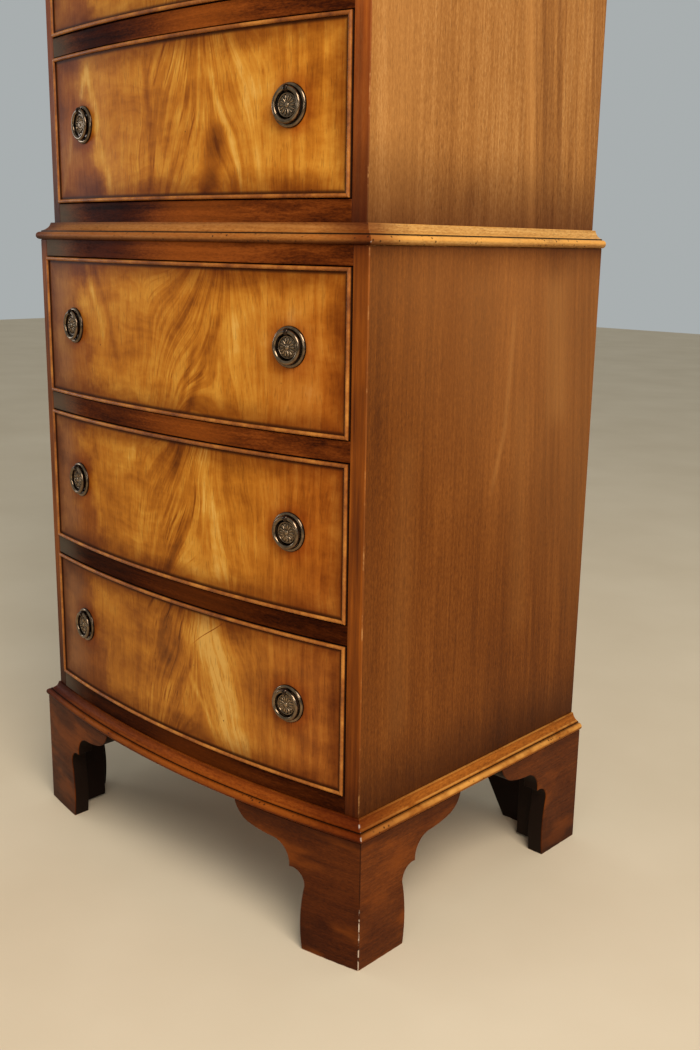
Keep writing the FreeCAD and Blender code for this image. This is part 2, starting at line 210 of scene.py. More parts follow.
def bump(value, centre, reach):
    """1 at a centre, falling softly to 0 at a reach from it."""
    return between(abs(value - centre), reach, 0.0)


def parts(place):
    """The x, y and z wires of a place."""
    split = place.node("SeparateXYZ", (), {0: place})
    return [Wire(place.tree, socket) for socket in split.socket.node.outputs]


def point(x, y, z):
    """A place from three wires or numbers, the first of them a wire."""
    return x.node("CombineXYZ", (), {0: x, 1: y, 2: z})


print("masks and places ready")

# %% [markdown]
# Patterns come from noise, and most of a finish is colours blended by masks. Tints are given as a painter
# mixes them on a screen, and become light only when they enter a node.

# %% Noise and mixing
def noise(place, scale=1.0, detail=2.0, roughness=0.5):
    """Cloudy values about 0.5."""
    sockets = {"Vector": place, "Scale": scale, "Detail": detail, "Roughness": roughness}
    return place.node("TexNoise", (), sockets)


def drawn_out(place, scale, detail, roughness=0.5, shift=(0, 0, 0)):
    """Cloudy values about 0.5, with a scale for each axis: the smallest draws the clouds out along its axis."""
    scaled = place.node("Mapping", (), {"Vector": place, "Scale": scale, "Location": shift})
    return noise(scaled, 1.0, detail, roughness)


def pits(place, scale):
    """Distance from the nearest of many scattered points."""
    return place.node("TexVoronoi", (), {"Vector": place, "Scale": scale}, out="Distance")


def attribute(place, name):
    """A value that a piece carries on its points or faces."""
    return place.node("Attribute", {"attribute_name": name}, out="Fac")


def blended(mask, first, second, how="MIX"):
    """A wire or a tint mixed towards a second one where the mask is 1."""
    sockets = {0: mask}
    for key, colour in ((6, first), (7, second)):
        sockets[key] = colour if isinstance(colour, Wire) else (*paint(*colour), 1)
    return mask.node("Mix", {"data_type": "RGBA", "blend_type": how}, sockets, out=2)


def darkened(mask, colour, tint):
    """A colour multiplied by a tint where the mask is 1, as a thin coat of dark polish does."""
    return blended(mask, colour, tint, "MULTIPLY")


def ramp(value, *stops):
    """A colour that follows a value through stops of (place, tint)."""
    return value.node("ValToRGB", {"stops": [(at, paint(*tint)) for at, tint in stops]}, {0: value})


print("noise and mixing ready")

# %% [markdown]
# A finish starts with the place on the piece, in metres, and ends by feeding one Principled shader.
# What varies over the surface feeds its colour, roughness and bump; constants are set on its sockets.

# %% Start and end of a finish
COAT_ROUGHNESS = 0.2


def begin(name):
    """A new material and the wire of the place on the piece."""
    material = bpy.data.materials.new(name)
    material.use_nodes = True
    place = Wire(material.node_tree).node("TexCoord", out="Object")
    return material, place


def polish(material, colour, roughness, height, depth, strength, coat=0.0, metal=0.0, gloss=0.5):
    """Feeds the shader; depth is how far the height pattern rises, in metres."""
    shader = material.node_tree.nodes["Principled BSDF"]
    links = material.node_tree.links
    links.new(colour.socket, shader.inputs["Base Color"])
    links.new(roughness.socket, shader.inputs["Roughness"])
    relief = height.node("Bump", (), {"Strength": strength, "Distance": depth, "Height": height})
    links.new(relief.socket, shader.inputs["Normal"])
    shader.inputs["Coat Weight"].default_value = coat
    shader.inputs["Coat Roughness"].default_value = COAT_ROUGHNESS
    shader.inputs["Metallic"].default_value = metal
    shader.inputs["Specular IOR Level"].default_value = gloss
    return material


print("finish helpers ready, coats have a roughness of", COAT_ROUGHNESS)

# %% [markdown]
# ## Floor
# The floor is one plain pale sheet, a single square with a faint cloudiness. It isn't part of the piece.

# %% Floor
FLOOR_HALF = 9.0

material, place = begin("studio_floor")
cloud = noise(place, 3.0, 4.0)
colour = ramp(cloud, (0.3, (214, 194, 164)), (0.7, (222, 203, 174)))
polish(material, colour, 0.85 + cloud * 0.1, noise(place, 400.0), 0.0004, 0.2)

bm = bmesh.new()
bmesh.ops.create_grid(bm, x_segments=1, y_segments=1, size=FLOOR_HALF)
mesh = bpy.data.meshes.new("studio_floor")
bm.to_mesh(mesh)
bm.free()
mesh.materials.append(material)
floor = bpy.data.objects.new("studio_floor", mesh)
scene.collection.objects.link(floor)
print("floor laid", 2 * FLOOR_HALF, "m wide")

# %% [markdown]
# ## Straight-grained mahogany
# Mahogany shows three things: broad ribbons of light and dark, fine lines, and short dark pores.
# All three run along the board, so each is a noise drawn out along the grain.
# A board's grain space has its third axis along the grain, whatever way the board lies.

# %% Grain of a board
FLECKS = (620, 620, 190)
PORES = (620, 620, 95)


def grain(place, ribbon, line, ribboned=0.5):
    """Tone about 0.5, the mask of the pores and the fine lines; ribbon and line are counts in a metre."""
    wave = (drawn_out(place, (14, 14, 2.5), 2.0) - 0.5) * 0.012
    x, y, z = parts(place)
    bent = point(x + wave, y + wave, z)
    broad = drawn_out(bent, (ribbon * 0.3, ribbon * 0.3, 1.3), 2.0)
    ribbons = drawn_out(bent, (ribbon, ribbon, 0.9), 2.0)
    lines = drawn_out(bent, (line, line, 5.0), 3.0, 0.6)
    flecks = drawn_out(bent, FLECKS, 2.0, 0.7)
    pores = between(drawn_out(bent, PORES, 1.0), 0.60, 0.74)
    tone = (broad + ribbons - 1.0) * ribboned + (lines - 0.5) * 0.50 + (flecks - 0.5) * 0.62 + 0.5
    return tone, pores, lines


def upright(place):
    """Grain space of a board that stands on end."""
    return place


def level(place):
    """Grain space of a board that lies across the front."""
    x, y, z = parts(place)
    return point(y, z, x)


def wrapped(place):
    """Grain space of a length that runs along the front and then back along a side."""
    x, y, z = parts(place)
    return point(z, z * 0.5, x + y)


print("grain ready, pores", PORES)

# %% [markdown]
# The recipe turns the grain's tone into three browns. A patina is a function that shades the colour by place,
# so each kind of board can be worn in its own way. The gloss is low, because old wax is nearly dull.

# %% Mahogany
PORE_BROWN = (52, 24, 8)


def mahogany(name, space, tones, ribbon, line, ribboned, patina=None, gloss=0.08):
    """Polished straight-grained mahogany, dark to light in three tones; patina may shade the colour by place."""
    material, place = begin(name)
    tone, pores, lines = grain(space(place), ribbon, line, ribboned)
    cloud = noise(place, 5.0, 3.0)
    colour = ramp(tone + (cloud - 0.5) * 0.30, *zip((0.22, 0.5, 0.8), tones))
    colour = blended(pores * 0.28, colour, PORE_BROWN)
    if patina:
        colour = patina(place, colour)
    roughness = 0.40 + noise(place, 22.0, 3.0) * 0.16 + pores * 0.1
    return polish(material, colour, roughness, lines * 0.4 - pores, 0.00012, 0.5, gloss=gloss)


print("mahogany recipe ready")

# %% [markdown]
# ## Boards with softened edges
# A CAD board ends in perfectly sharp edges, and its curves are flat facets. A real board has been planed,
# sanded and rubbed for years. A welded copy of the node keeps the form: flat facets are joined again,
# sharp edges are rounded with a bevel, and the rounded faces are marked so that the finish can wear them.
# A node may hold several solids that touch, such as the lengths of a mitred moulding, so the triangles are
# first sorted into closed solids, and each is welded by itself.

# %% Closed solids and soft edges
WELD = 2e-6
SAME_FLAT = math.radians(0.02)
SHARP = math.radians(32)
SMOOTH = math.radians(38)


def closed_solids(mesh):
    """Lists of a node's triangles, one list for each closed solid, in the order of the file."""
    corners = [tuple(round(c / WELD) for c in v.co) for v in mesh.vertices]
    open_edges, solid, solids = set(), [], []
    for polygon in mesh.polygons:
        keys = [corners[i] for i in polygon.vertices]
        for a, b in zip(keys, keys[1:] + keys[:1]):
            if a != b:
                open_edges ^= {frozenset((a, b))}
        solid.append(polygon.index)
        if not open_edges:
            solids.append(solid)
            solid = []
    return solids + ([solid] if solid else [])


def softened(bm, arris, clamp):
    """Rounds the sharp outer edges and marks the new faces."""
    mark = bm.faces.layers.float.new("arris")
    if arris:
        sharp = [e for e in bm.edges if e.is_manifold and e.is_convex and e.calc_face_angle() > SHARP]
        made = bmesh.ops.bevel(bm, geom=sharp, offset=arris, offset_type="OFFSET", segments=3, profile=0.5,
                               affect="EDGES", material=-1, clamp_overlap=clamp)
        for face in made["faces"]:
            face[mark] = 1.0
    for face in bm.faces:
        face.smooth = True
    for edge in bm.edges:
        marks = {face[mark] for face in edge.link_faces}
        edge.smooth = edge.is_manifold and len(marks) == 1 and edge.calc_face_angle() < SMOOTH


print("edges sharper than", math.degrees(SHARP), "degrees are softened")

# %% [markdown]
# A finished piece moves with the body that its node belongs to and stands for that node. Its place is in its
# mesh, so the object itself stays at the origin.

# %% Finished copies of the frame's nodes
def piece_from(bm, name, node, material):
    """A finished piece that rides where a node rode and stands for it."""
    mesh = bpy.data.meshes.new(name)
    bm.to_mesh(mesh)
    bm.free()
    mesh.materials.append(material)
    piece = bpy.data.objects.new(name, mesh)
    scene.collection.objects.link(piece)
    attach(piece, body_of[node])
    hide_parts(node)
    return piece


def finished(node, material, arris=0.0, clamp=True):
    """A welded copy of a node with softened edges and its finish."""
    source = frame["nodes"][node].data
    bm = bmesh.new()
    bm.from_mesh(source)
    bm.faces.ensure_lookup_table()
    for solid in [[bm.faces[i] for i in solid] for solid in closed_solids(source)]:
        corners = dict.fromkeys(vert for face in solid for vert in face.verts)
        bmesh.ops.remove_doubles(bm, verts=list(corners), dist=WELD)
    bmesh.ops.dissolve_limit(bm, angle_limit=SAME_FLAT, verts=bm.verts, edges=bm.edges)
    softened(bm, arris, clamp)
    return piece_from(bm, node + "_finished", node, material)


print("copies are welded within", WELD, "m")

# %% [markdown]
# ## Where a place lies on the piece
# Fronts, rails, beads, feet and mouldings all follow bows with one upright axis behind the piece. A place's
# distance from that axis therefore says how far it stands out, whatever its x. The upper case is set back
# from the lower one, and the mouldings lie at a few known heights.

# %% Bow and heights
BOW_RADIUS = 1.364446
BOW_CENTRE_Y = 1.155946
CASE_HALF = 0.275
SETBACK = 0.014
BASE_FOOT, BASE_TOP = 0.149, 0.169
WAIST_FOOT, WAIST_TOP = 0.751, 0.771
CORNICE_FOOT = 1.355


def proud_of_bow(place):
    """How far a place lies outside the lower case's bowed face, in metres."""
    x, y, z = parts(place)
    back = y - BOW_CENTRE_Y
    return (x * x + back * back) ** 0.5 - BOW_RADIUS


def band(x, up, at, lean, half, low, high):
    """A leaning band: where it crosses mid height, its slope, half width, lowest and highest point."""
    ends = between(up, low, low + 0.04) * between(up, high, high - 0.04)
    return between(abs(x - up * lean - at), half, 0.0) * ends


print("bow rises", BOW_RADIUS - math.sqrt(BOW_RADIUS ** 2 - CASE_HALF ** 2), "m over the case's width")

# %% [markdown]
# ## Case sides and rails
# The sides are plain straight-grained boards. The upper pair is lighter, with broad ribbons. They grow lighter
# upwards and towards the back and darker where a moulding meets them, and right under the moulding above lies
# a painted shadow line. The front edges, which frame the drawers, are redder. Their arrises are rubbed pale, with
# a painted highlight along the corner. Each side also has a few leaning streaks of its own.

# %% Shades of a side
PALER_TINT = (182, 122, 66)
LIGHT_STREAK, DARK_STREAK = (208, 146, 78), (96, 48, 14)
STRIPE = (150, 116, 92)
RUBBED_AND_LIT = (196, 140, 82)


def pale_arris(place, colour, half):
    """Lightens the rounded edges at a half width, where the polish is rubbed away and a painted highlight runs along
    them.
    """
    x, y, z = parts(place)
    rubbed = between(noise(place, 38.0, 4.0, 0.7), 0.52, 0.70)
    mark = attribute(place, "arris") * between(abs(x), half - 0.004, half - 0.003)
    return blended(mark * (rubbed * 0.55 + 0.06), colour, RUBBED_AND_LIT)


def side_patina(foot, top, setback, lightened, striped, edge_darkening, darkening, stile, streaks):
    """Shades a side: lighter upwards, dark near its mouldings, striped at the back, red on its front edge.

    Right under the top moulding the darkening is a painted shadow.
    """
    def shade(place, colour):
        x, y, z = parts(place)
        ragged = noise(place, 14.0, 3.0) * 0.03
        low = between(z + ragged, foot + 0.11, foot + 0.01)
        high = between(z - ragged, top - 0.06, top - 0.005)
        # a painted shadow line right under the top moulding
        painted_shadow = between(z, top - 0.016, top - 0.002) * 0.25
        # lighter upwards and towards the back
        upward = between(z + y * 0.9 + ragged, foot + 0.22, top + 0.06) * between(z - ragged, top + 0.01, top - 0.06)
        colour = blended(upward * lightened, colour, PALER_TINT)
        for at, lean, half, middle, reach, light in streaks:
            streak = band(y + ragged * 0.1, z - middle, at, lean, half, -reach, reach)
            colour = blended(streak * abs(light), colour, LIGHT_STREAK if light > 0 else DARK_STREAK)
        stripes = between(noise(point(y * 150.0 + z * 14.0, z * 2.0, foot), 1.0, 2.0), 0.46, 0.60)
        stripes = stripes * between(y, 0.02, 0.13) * (1 - low * 0.7)
        colour = darkened(stripes * striped, colour, STRIPE)
        # darker near the foot and under the top moulding, with the painted shadow line just below it
        colour = darkened(low * 0.68 + high * 0.2 + painted_shadow, colour, darkening)
        # the narrow front edge, which lies on the bow
        fine = drawn_out(place, (170, 170, 7), 3.0, 0.6) + (noise(place, 10.0, 3.0) - 0.5) * 0.6
        edge = ramp(fine, *zip((0.25, 0.5, 0.75), stile))
        edge = darkened(between(z + ragged, foot + 0.26, foot) * 0.9, edge, (176, 156, 156))
        edge = darkened(larger(high, low * edge_darkening), edge, (158, 128, 116))
        on_edge = between(proud_of_bow(place) + setback, -0.0015, -0.0005)
        return pale_arris(place, blended(on_edge * 0.85, colour, edge), CASE_HALF - setback)
    return shade


print("a side fades to", PALER_TINT, "and is rubbed to", RUBBED_AND_LIT)

# %% [markdown]
# One table for each pair of sides: the streaks are given as (y, lean, half width, middle height, reach, light),
# where a light below 0 is a dark streak. Both hands of a pair share one finish.

# %% Sides of both cases
SIDE_ARRIS = 0.0009
LOWER_STILE = ((80, 35, 10), (122, 60, 13), (160, 85, 22))
UPPER_STILE = ((92, 33, 8), (132, 57, 12), (158, 77, 19))
LOWER_STREAKS = (
    (0.053, 0.08, 0.007, 0.617, 0.085, 0.14), (0.039, 0.28, 0.007, 0.523, 0.05, 0.16),
    (0.142, -0.10, 0.034, 0.635, 0.10, 0.16), (-0.055, 0.0, 0.034, 0.62, 0.13, -0.22),
    (0.085, -0.05, 0.030, 0.45, 0.16, 0.05), (-0.12, 0.02, 0.030, 0.40, 0.18, 0.05))
UPPER_STREAKS = (
    (0.105, -0.10, 0.009, 0.98, 0.20, -0.22), (0.134, -0.10, 0.007, 0.98, 0.20, -0.16),
    (0.086, -0.10, 0.012, 0.91, 0.18, 0.34), (0.160, -0.08, 0.006, 0.92, 0.20, -0.12),
    (-0.125, 0.0, 0.060, 0.96, 0.20, 0.20), (-0.01, 0.3, 0.022, 0.80, 0.035, -0.34))

lower_patina = side_patina(BASE_TOP, WAIST_FOOT, 0.0, lightened=0.30, striped=0.16, edge_darkening=0.7,
                           darkening=(110, 80, 60), stile=LOWER_STILE, streaks=LOWER_STREAKS)
upper_patina = side_patina(WAIST_TOP, CORNICE_FOOT, SETBACK, lightened=0.10, striped=0.3, edge_darkening=1.0,
                           darkening=(98, 46, 36), stile=UPPER_STILE, streaks=UPPER_STREAKS)
lower_side = mahogany("lower_side_mahogany", upright, ((84, 41, 9), (112, 59, 15), (142, 82, 29)),
                      26.0, 300.0, 0.42, lower_patina)
upper_side = mahogany("upper_side_mahogany", upright, ((128, 77, 31), (160, 105, 50), (192, 138, 78)),
                      50.0, 300.0, 0.3, upper_patina)
for hand in ("right", "left"):
    finished(f"lower_{hand}_side", lower_side, SIDE_ARRIS)
    finished(f"upper_{hand}_side", upper_side, SIDE_ARRIS)
print("four sides finished, arrises", SIDE_ARRIS, "m")

# %% [markdown]
# The rails between the drawers are dark red-brown, with grain along the front. Old polish has gathered left of
# the middle and a warm light patch lies right of it; the lower rails are painted darker as shade, and the left
# ends are painted grey as a sheen.

# %% Rails
RAIL_ARRIS = 0.0006


def rail_patina(place, colour):
    x, y, z = parts(place)
    ragged = x + (noise(place, 9.0, 3.0) - 0.5) * 0.10
    waxy = between(z, 0.70, 0.74) * 0.35 + 0.55
    dark = between(abs(ragged + 0.12), 0.10, 0.02) * waxy + between(ragged, 0.14, 0.25) * 0.35
    colour = darkened(dark, colour, (120, 84, 70))
    colour = blended(bump(ragged, 0.05, 0.10) * 0.30, colour, (176, 92, 26))
    # painted shade on the lower rails
    colour = darkened(between(z, 0.50, 0.38) * 0.8, colour, (126, 108, 100))
    # a painted grey sheen on the left ends
    return blended(between(ragged, -0.16, -0.25) * 0.85, colour, (90, 79, 66))


rail = mahogany("rail_mahogany", level, ((58, 22, 7), (102, 46, 12), (138, 69, 22)), 120.0, 500.0, 0.8,
                rail_patina, gloss=0.02)
for case in ("lower", "upper"):
    finished(case + "_rails", rail, RAIL_ARRIS)
print("rails finished, arrises", RAIL_ARRIS, "m")

# %% [markdown]
# ## Mouldings
# A cove and bead runs round the base and the waist, and a cornice crowns the top. They are lighter than
# the case. A near-black line fills the quirk between bead and cove, and the bead is dinged.
# Front and side lengths meet on a mitre, where a place is as far outside the front as outside the side:
# that one sum tells the redder front, darkened by painted shade as it faces away from the light, from the
# paler sides, and darkens both near the corner.

# %% Shades of a moulding
QUIRK_DARK = (16, 7, 3)
DING = (40, 20, 8)
CHIP = (222, 206, 192)
PALE_SIDE, PALE_FRONT = (226, 160, 76), (158, 84, 24)


def moulding_patina(foot, front_shade, left_depth, corner_reach, quirks, shaded_bands, pale_lines):
    """Shades a moulding: quirks, shaded bands and pale lines are heights above its foot.

    A quirk is (height, reach), a shaded band is painted shade that darkens from its first height to its second,
    and a pale line is (height, reach, scale of its patches, strength); on the base's lowest edge it is polish
    rubbed away by shoes, elsewhere it is a painted highlight.
    """
    def shade(place, colour):
        x, y, z = parts(place)
        rise = z - foot
        mitre = proud_of_bow(place) - abs(x) + CASE_HALF
        front = between(mitre, -0.001, 0.001)
        # painted shade on the front lengths, which face away from the light
        colour = darkened(front * front_shade, colour, (196, 158, 124))
        far_left = between(x + noise(place, 12.0, 3.0) * 0.1, 0.10, -0.15) * front
        colour = darkened(far_left * left_depth, colour, (160, 144, 122))
        # painted shade across the shaded bands, deeper on the front
        for light, dark in shaded_bands:
            colour = darkened(between(rise, light, dark) * (front * 0.35 + 0.2), colour, (140, 100, 78))
        bare = blended(front, PALE_SIDE, PALE_FRONT)
        # pale lines: rubbed polish on the base's lowest edge, painted highlights on the others
        for at, reach, patch_scale, most in pale_lines:
            rubbed = between(noise(place, patch_scale, 4.0, 0.7), 0.34, 0.54) * (most - front * 0.45 * most)
            colour = blended(between(abs(rise - at), reach, reach * 0.3) * rubbed, colour, bare)
        near_corner = between(abs(mitre) + noise(place, 40.0, 3.0) * 0.03, corner_reach, 0.014)
        colour = darkened(near_corner * 0.88, colour, (154, 116, 98))
        # a near-black line in each quirk
        for at, reach in quirks:
            colour = blended(between(abs(rise - at), reach, reach * 0.4) * 0.95, colour, QUIRK_DARK)
        dings = between(pits(place, 170.0), 0.26, 0.15) * between(noise(place, 17.0, 2.0), 0.47, 0.56)
        on_bead = between(rise, 0.0105, 0.0090) * 0.75 + 0.25
        colour = blended(dings * on_bead * 0.8, colour, DING)
        chips = between(abs(mitre), 0.0016, 0.0004) * between(noise(place, 170.0, 2.0), 0.52, 0.62)
        return blended(chips * 0.5, colour, CHIP)
    return shade


print("mouldings are mitred at", CASE_HALF, "m from the middle")

# %% [markdown]
# Base and waist have one section, so they share the heights of its quirks, shaded bands and pale lines. The
# waist's bead gets more painted shade underneath, and only the base, which shoes reach, is rubbed along its lowest
# edge; the other pale lines are painted highlights.

# %% Base, waist and cornice
QUIRKS = ((0.0097, 0.0010), (0.0212, 0.0011))
SHADED_BANDS = ((0.0055, 0.0008), (0.0150, 0.0205))
UNDERSIDE_SHADE = ((0.0040, 0.0005),)
LOWEST_EDGE = ((0.0010, 0.0012, 110.0, 0.9),)
LIT_RIMS = ((0.0068, 0.0034, 10.0, 0.75), (0.0112, 0.0007, 20.0, 0.5), (0.0197, 0.0006, 20.0, 0.4))
CORNICE_QUIRKS = ((0.0073, 0.0012), (0.0330, 0.0010))
CORNICE_SHADED_BANDS = ((0.0200, 0.0080),)
CORNICE_RIMS = ((0.0390, 0.003, 30.0, 0.7),)
MOULDING_GRAIN = (60.0, 420.0, 0.4)

base_patina = moulding_patina(BASE_FOOT, 0.9, 0.7, 0.15, QUIRKS, SHADED_BANDS, LOWEST_EDGE + LIT_RIMS)
waist_patina = moulding_patina(WAIST_FOOT, 0.85, 0.4, 0.08, QUIRKS, SHADED_BANDS + UNDERSIDE_SHADE, LIT_RIMS)
cornice_patina = moulding_patina(CORNICE_FOOT, 0.8, 0.4, 0.08, CORNICE_QUIRKS, CORNICE_SHADED_BANDS, CORNICE_RIMS)
base = mahogany("base_moulding_mahogany", wrapped, ((116, 60, 14), (162, 91, 27), (196, 124, 48)),
                *MOULDING_GRAIN, base_patina, gloss=0.05)
waist = mahogany("waist_moulding_mahogany", wrapped, ((156, 100, 44), (197, 145, 77), (226, 180, 114)),
                 *MOULDING_GRAIN, waist_patina)
crown = mahogany("cornice_mahogany", wrapped, ((120, 64, 18), (162, 98, 34), (190, 124, 54)),
                 *MOULDING_GRAIN, cornice_patina)
for node, material in (("base_moulding", base), ("waist_moulding", waist), ("cornice", crown)):
    finished(node, material)
print("mouldings finished")

# %% [markdown]
# ## Bracket feet and top
# Each foot is a pair of shaped brackets with a glue block behind. Only the show faces are polished: the
# sawn edges and the inside are stained nearly black. The bottom corners have lost their polish to shoes.

# %% Feet
SHOW_FACE = 0.0135
FOOT_ARRIS = 0.0008
STAINED = (26, 15, 9)
KICKED = (208, 184, 160)


def foot_patina(place, colour):
    x, y, z = parts(place)
    arris = attribute(place, "arris")
    proud = proud_of_bow(place)
    front = between(proud, SHOW_FACE - 0.0014, SHOW_FACE - 0.0008)
    side = between(abs(x), CASE_HALF + SHOW_FACE - 0.0014, CASE_HALF + SHOW_FACE - 0.0008)
    cloud = drawn_out(place, (16, 16, 26), 3.0)
    colour = darkened(between(cloud, 0.40, 0.70) * 0.5, colour, (150, 110, 80))
    # painted shade on the front faces, which turn from the light, and darker towards the floor
    colour = darkened(front * (x * 0.7 + 0.5) + between(z, 0.10, 0.05) * 0.3, colour, (196, 182, 176))
    patches = drawn_out(place, (11, 11, 30), 3.0, shift=(3, 1, 0))
    colour = blended(between(patches, 0.50, 0.68) * 0.42, colour, (146, 72, 17))
    # painted shade: the feet that stand away from the light are darker at the floor, and all get a painted shadow
    # under the moulding
    far_shade = larger(between(x, 0.0, -0.1), between(y, 0.0, 0.1)) * between(z, 0.055, 0.0) * 0.7
    colour = darkened(far_shade + between(z, BASE_FOOT - 0.015, BASE_FOOT) * 0.5, colour, (140, 122, 116))
    colour = blended(1 - larger(front, side), colour, STAINED)
    # wax has darkened the upper half of the corner, and kicks have whitened its lower half and the sole's rim
    corner = between(abs(x), CASE_HALF + 0.0112, CASE_HALF + 0.0120)
    corner = corner * between(proud, SHOW_FACE - 0.0030, SHOW_FACE - 0.0020)
    colour = blended(arris * corner * between(z, 0.07, 0.09) * 0.6, colour, (30, 14, 6))
    scuffed = corner * between(z + cloud * 0.02, 0.088, 0.075)
    sole = between(z, 0.0016, 0.0006) * 0.6
    kicked = arris * between(noise(place, 110.0, 3.0, 0.7), 0.42, 0.56)
    return blended(kicked * larger(scuffed, sole), colour, KICKED)


foot = mahogany("foot_mahogany", wrapped, ((64, 26, 7), (96, 45, 11), (124, 62, 18)), 40.0, 300.0, 0.4, foot_patina)
for end in ("front", "rear"):
    for hand in ("right", "left"):
        finished(f"{end}_{hand}_foot", foot, FOOT_ARRIS, False)
print("four feet finished, arrises", FOOT_ARRIS, "m")

# %% [markdown]
# The top board lies over the cornice with its grain across the front. Nothing shades it, so the plain recipe
# with broad ribbons is enough.

# %% Top board
TOP_ARRIS = 0.0006

top = mahogany("top_mahogany", level, ((100, 50, 15), (136, 76, 26), (164, 100, 40)), 40.0, 240.0, 0.7)
finished("top_board", top, TOP_ARRIS)
print("top finished, arrises", TOP_ARRIS, "m")

# %% [markdown]
# ## Drawer linings and backs
# Inside, the drawers and bearers are plain pale timber, rubbed but never polished. Their CAD boards are
# already the right shape, so they stay and only get a finish.

# %% Inner timber
BEARER_TONES = ((118, 82, 46), (146, 106, 64), (170, 130, 84))


def lining(name, space, tones):
    """Plain timber with a little grime, dark to light in three tones."""
    material, place = begin(name)
    tone, pores, lines = grain(space(place), 30.0, 200.0)
    colour = ramp(tone, *zip((0.2, 0.5, 0.8), tones))
    darkening = between(noise(place, 6.0, 4.0), 0.45, 0.75)
    colour = blended(darkening * 0.35, blended(pores * 0.3, colour, (90, 60, 34)), (120, 84, 50))
    return polish(material, colour, 0.62 + darkening * 0.1, lines * 0.4 - pores, 0.0001, 0.4)


def fore_and_aft(place):
    """Grain space of a board that runs from front to back."""
    x, y, z = parts(place)
    return point(x, z, y)


def dress(node, material):
    """Gives a node of the frame its finish."""
    slots = frame["nodes"][node].data.materials
    slots.clear()
    slots.append(material)


box_timber = lining("drawer_lining", fore_and_aft, ((150, 112, 70), (178, 138, 92), (198, 162, 114)))
bearer_timber = lining("bearer_timber", fore_and_aft, BEARER_TONES)
board_timber = lining("inner_board_timber", level, BEARER_TONES)
back_timber = lining("back_board_timber", upright, ((124, 86, 48), (150, 108, 64), (172, 130, 82)))
inner = [node for node, slot in slot_of.items() if slot == "inner_timber"]
for node in inner:
    dress(node, box_timber if node.endswith("_box") else board_timber if node.endswith("_board") else bearer_timber)
backs = [node for node, slot in slot_of.items() if slot == "back_timber"]
for node in backs:
    dress(node, back_timber)
print("linings dressed", len(inner), "backs dressed", len(backs))

# %% [markdown]
# ## Figured drawer fronts
# The fronts are veneered with mahogany cut near a fork of the tree. Its grain leans one way on one side of a
# spine and the other way on the other, so thin flames rise to the spine, and further off it runs straight up.
# Grain that leans by a slope is grain read at x - slope * height, so a drawn-out noise read there gives a
# family of leaning streaks, and a leaning band says where that family shows. A few more bands, listed for
# each front, are the lights and darks that tell one front from the next.

# %% Figure of a veneer
def streaked(across, up, seed, wide, long):
    """Crisp lights and darks, from -0.5 to 0.5, drawn out along the height."""
    cloud = noise(point(across * wide, up * long, seed), 1.0, 3.0, 0.55)
    return between(cloud, 0.40, 0.61) - 0.5


def figure(place, up, seed, spine, rise, fall, bands):
    """Tone about 0, its fine hairs and its mottle; rise and fall are the grain's leans left and right of the spine."""
    x, y, z = parts(place)
    curl = drawn_out(place, (9, 9, 11), 1.0, shift=(seed, 0, seed)) - 0.5
    mottle = drawn_out(place, (14, 14, 22), 5.0, 0.62, (seed, seed, 0)) - 0.5
    wander = x + curl * 0.032
    lean = bump(wander, spine - 0.045, 0.085) * rise + bump(wander, spine + 0.045, 0.075) * fall
    across = wander - up * lean
    flames = streaked(across, up, seed, 105.0, 10.0)
    lively = bump(wander, spine - 0.03, 0.12) * 0.21 + 0.06
    feathers = between(noise(point(across * 250.0, up * 20.0, seed + 8.0), 1.0, 2.0), 0.54, 0.66)
    feathers = feathers * between(mottle, -0.04, 0.10) * bump(wander, spine - 0.05, 0.13)
    hairs = noise(point(across * 430.0, up * 26.0, seed + 3.0), 1.0, 2.0, 0.6) - 0.5
    curly = bump(x, -0.06, 0.12)
    rippled = (z + curl * 0.09 + mottle * 0.03) * 130.0
    ripple = noise(point(wander * 16.0, rippled, seed + 5.0), 1.0, 2.0) - 0.5
    straight = streaked(x, up, seed + 2.0, 85.0, 2.0) * between(x, 0.09, 0.15)
    tone = flames * lively - feathers * 0.34 + hairs * (0.32 - curly * 0.24) + mottle + ripple * curly * 0.30
    tone = tone + straight * 0.15
    for at, leans, half, low, high, lift in bands:
        tone = tone + band(wander, up, at, leans, half, low, high) * (lift * (flames * 0.35 + 0.9))
    return tone, hairs, mottle


print("veneer figure ready")

# %% [markdown]
# Age has changed the fronts. Towards the left the veneer turns darker and greyer: partly a quieter red of its
# own, partly painted shade and sheen where the bow turns from the light, and the lower three get a thin painted
# grey sheen at their left ends; on these the right is redder too. Polish and hands have left a dark red ring
# round each pull, and along the beads the veneer is darker, with dark polish and a painted shade in the corner
# beside each bead.

# %% Age and finish of a front
VENEER = ((0.04, (98, 46, 6)), (0.30, (152, 84, 17)), (0.52, (186, 113, 30)), (0.74, (208, 141, 49)),
          (0.97, (224, 168, 80)))
VENEER_PORES = (560, 560, 70)


